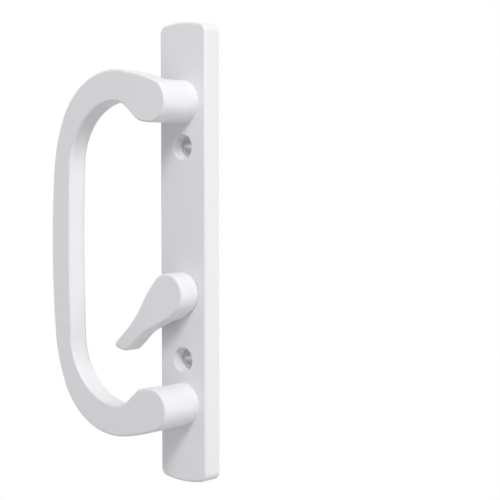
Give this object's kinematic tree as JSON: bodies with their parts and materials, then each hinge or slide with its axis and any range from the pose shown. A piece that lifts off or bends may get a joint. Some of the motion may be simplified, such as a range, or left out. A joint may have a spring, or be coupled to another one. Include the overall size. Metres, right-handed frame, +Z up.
{
  "type": "sliding patio door handle",
  "caption": "Inside handle of a sliding patio door: narrow screw-on plate, D-shaped pull grip on two posts and a thumb lever that turns a keyed stem.",
  "frame": {"origin": "middle of the plate's back face, where it meets the door, midway between the two mounting holes", "axes": "+X to the right seen from the room, +Y from the room into the door, +Z up along the plate"},
  "size_m": [0.0801, 0.0323, 0.216],
  "materials": {
    "white_enamelled_zinc": "satin",
    "zinc_plated_steel": "satin",
    "spring_steel": "satin",
    "acetal": "matte"
  },
  "bodies": {
    "handle": {"escutcheon": "white_enamelled_zinc", "pull_handle": "white_enamelled_zinc", "pull_screw_upper": "zinc_plated_steel", "pull_screw_lower": "zinc_plated_steel", "lock_washer_upper": "zinc_plated_steel", "lock_washer_lower": "zinc_plated_steel", "lever_bushing": "acetal"},
    "lever": {"thumb_lever": "white_enamelled_zinc", "stop_cam": "zinc_plated_steel", "wave_washer": "spring_steel", "thrust_washer": "zinc_plated_steel", "retaining_clip": "spring_steel"}
  },
  "joints": [
    {"name": "lever_turn", "type": "hinge", "parent": "handle", "child": "lever", "pos_m": [0, -0.0156, -0.0185], "axis": [0, 1, 0], "range_deg": [0, 90]}
  ]
}
